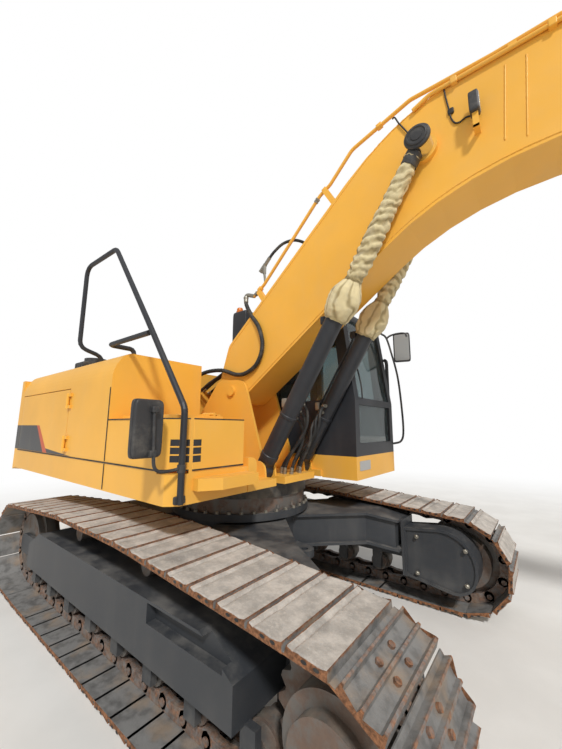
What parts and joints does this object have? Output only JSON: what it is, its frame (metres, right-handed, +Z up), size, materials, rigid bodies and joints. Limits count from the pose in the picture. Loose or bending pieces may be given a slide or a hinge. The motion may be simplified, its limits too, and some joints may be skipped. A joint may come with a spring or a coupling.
{
  "type": "crawler excavator",
  "caption": "Crawler excavator with swinging house, boom, arm and bucket on rams, long tracks, opening doors, hood and hatch.",
  "frame": {"origin": "middle of the standing length and width, on the ground under the tracks", "axes": "+X forward along the boom, +Y to the operator's left, +Z up"},
  "size_m": [9.1515, 3.22, 4.3298],
  "materials": {
    "amber_lens": "gloss",
    "black_plastic": "matte",
    "bucket_steel": "worn",
    "cab_paint": "satin",
    "charcoal_paint": "satin",
    "dark_steel": "matte",
    "engine_grey": "matte",
    "glass": "clear",
    "rail_paint": "satin",
    "rod_chrome": "polished",
    "seat_fabric": "woven",
    "tooth_steel": "worn",
    "track_steel": "rough",
    "undercarriage_steel": "rough",
    "wrap_cloth": "woven",
    "yellow_paint": "satin"
  },
  "bodies": {
    "undercarriage": {"car_body": "undercarriage_steel", "swing_ring": "undercarriage_steel", "track_frames": "undercarriage_steel", "track_left": "track_steel", "track_right": "track_steel", "sprockets": "undercarriage_steel", "idlers": "undercarriage_steel", "rollers": "undercarriage_steel", "drive_guards": "undercarriage_steel"},
    "house": {"deck_frame": "yellow_paint", "counterweight": "yellow_paint", "engine": "engine_grey", "right_body": "yellow_paint", "left_body": "yellow_paint", "right_low_box": "yellow_paint", "air_intake": "black_plastic", "exhaust": "dark_steel", "cab_base": "yellow_paint", "cab_shell": "cab_paint", "cab_glass": "glass", "seat": "seat_fabric", "controls": "black_plastic", "handrails": "rail_paint", "mirrors": "black_plastic", "beacon": "amber_lens"},
    "box_lid": {"box_lid": "yellow_paint"},
    "hood": {"hood": "yellow_paint"},
    "right_door": {"right_door": "yellow_paint"},
    "left_door": {"left_door": "yellow_paint"},
    "cab_door": {"cab_door": "cab_paint", "door_glass": "glass"},
    "boom": {"boom": "yellow_paint", "boom_pipes": "yellow_paint", "boom_lamp": "black_plastic"},
    "boom_barrels": {"boom_barrels": "charcoal_paint"},
    "boom_rods": {"boom_rods": "rod_chrome", "rod_wraps": "wrap_cloth"},
    "arm_barrel": {"arm_barrel": "charcoal_paint"},
    "arm_rod": {"arm_rod": "rod_chrome"},
    "arm": {"arm": "yellow_paint"},
    "bucket_barrel": {"bucket_barrel": "charcoal_paint"},
    "bucket_rod": {"bucket_rod": "rod_chrome"},
    "rockers": {"rockers": "yellow_paint"},
    "bucket_link": {"bucket_link": "yellow_paint"},
    "bucket": {"bucket": "bucket_steel", "bucket_teeth": "tooth_steel"}
  },
  "joints": [
    {"name": "swing", "type": "hinge", "parent": "undercarriage", "child": "house", "pos_m": [-1.7416, 0, 1.02], "axis": [0, 0, 1], "continuous": true},
    {"name": "box_lid_hinge", "type": "hinge", "parent": "house", "child": "box_lid", "pos_m": [-1.4916, -0.798, 1.721], "axis": [-1, 0, 0], "range_deg": [0, 80]},
    {"name": "hood_hinge", "type": "hinge", "parent": "house", "child": "hood", "pos_m": [-2.4416, 0, 2.271], "axis": [0, 1, 0], "range_deg": [0, 60]},
    {"name": "right_door_hinge", "type": "hinge", "parent": "house", "child": "right_door", "pos_m": [-2.6916, -1.368, 1.6], "axis": [0, 0, 1], "range_deg": [0, 120]},
    {"name": "left_door_hinge", "type": "hinge", "parent": "house", "child": "left_door", "pos_m": [-2.6916, 1.368, 1.6], "axis": [0, 0, 1], "range_deg": [-120, 0]},
    {"name": "cab_door_hinge", "type": "hinge", "parent": "house", "child": "cab_door", "pos_m": [-1.6306, 1.368, 1.9], "axis": [0, 0, 1], "range_deg": [0, 165]},
    {"name": "boom_lift", "type": "hinge", "parent": "house", "child": "boom", "pos_m": [-1.6816, 0, 1.985], "axis": [0, -1, 0], "range_deg": [-59, 39]},
    {"name": "boom_ram_turn", "type": "hinge", "parent": "house", "child": "boom_barrels", "pos_m": [-1.2016, 0, 1.248], "axis": [0, -1, 0], "range_deg": [-54.84, 36.25]},
    {"name": "boom_ram_slide", "type": "slide", "parent": "boom_barrels", "child": "boom_rods", "axis": [0.5203, 0, 0.854], "range_m": [-0.8402, 0.5588], "deforming": ["rod_wraps"]},
    {"name": "arm_swing", "type": "hinge", "parent": "boom", "child": "arm", "pos_m": [3.83684, 0, 3.41217], "axis": [0, 1, 0], "range_deg": [-95, 25]},
    {"name": "arm_ram_turn", "type": "hinge", "parent": "boom", "child": "arm_barrel", "pos_m": [1.33829, 0, 4.23478], "axis": [0, -1, 0], "range_deg": [-0.91, 3.43]},
    {"name": "arm_ram_slide", "type": "slide", "parent": "arm_barrel", "child": "arm_rod", "axis": [0.9956, 0, -0.0939], "range_m": [-1.235, 0.3324]},
    {"name": "bucket_curl", "type": "hinge", "parent": "arm", "child": "bucket", "pos_m": [2.51234, 0, 0.82107], "axis": [0, 1, 0], "range_deg": [-52, 120]},
    {"name": "rocker_turn", "type": "hinge", "parent": "arm", "child": "rockers", "pos_m": [2.73913, 0, 1.17683], "axis": [0, 1, 0], "range_deg": [-33.65, 77.64]},
    {"name": "link_turn", "type": "hinge", "parent": "bucket", "child": "bucket_link", "pos_m": [2.84676, 0, 0.51996], "axis": [0, 1, 0], "range_deg": [-74.91, 32.47]},
    {"name": "bucket_ram_turn", "type": "hinge", "parent": "arm", "child": "bucket_barrel", "pos_m": [4.21199, 0, 2.84979], "axis": [0, -1, 0], "range_deg": [-8.22, 3.57]},
    {"name": "bucket_ram_slide", "type": "slide", "parent": "bucket_barrel", "child": "bucket_rod", "axis": [-0.4175, 0, -0.9087], "range_m": [-0.3212, 0.7282]}
  ],
  "couplings": [
    {"joint": "boom_ram_turn", "follows": "boom_lift", "ratio": 0.91108},
    {"joint": "boom_ram_slide", "follows": "boom_lift", "m_per_rad": 0.79041},
    {"joint": "arm_ram_turn", "follows": "arm_swing", "ratio": -0.032747},
    {"joint": "arm_ram_slide", "follows": "arm_swing", "m_per_rad": 0.7243},
    {"joint": "rocker_turn", "follows": "bucket_curl", "ratio": 0.63423},
    {"joint": "link_turn", "follows": "bucket_curl", "ratio": -0.61195},
    {"joint": "bucket_ram_turn", "follows": "bucket_curl", "ratio": -0.062205},
    {"joint": "bucket_ram_slide", "follows": "bucket_curl", "m_per_rad": 0.33618}
  ]
}
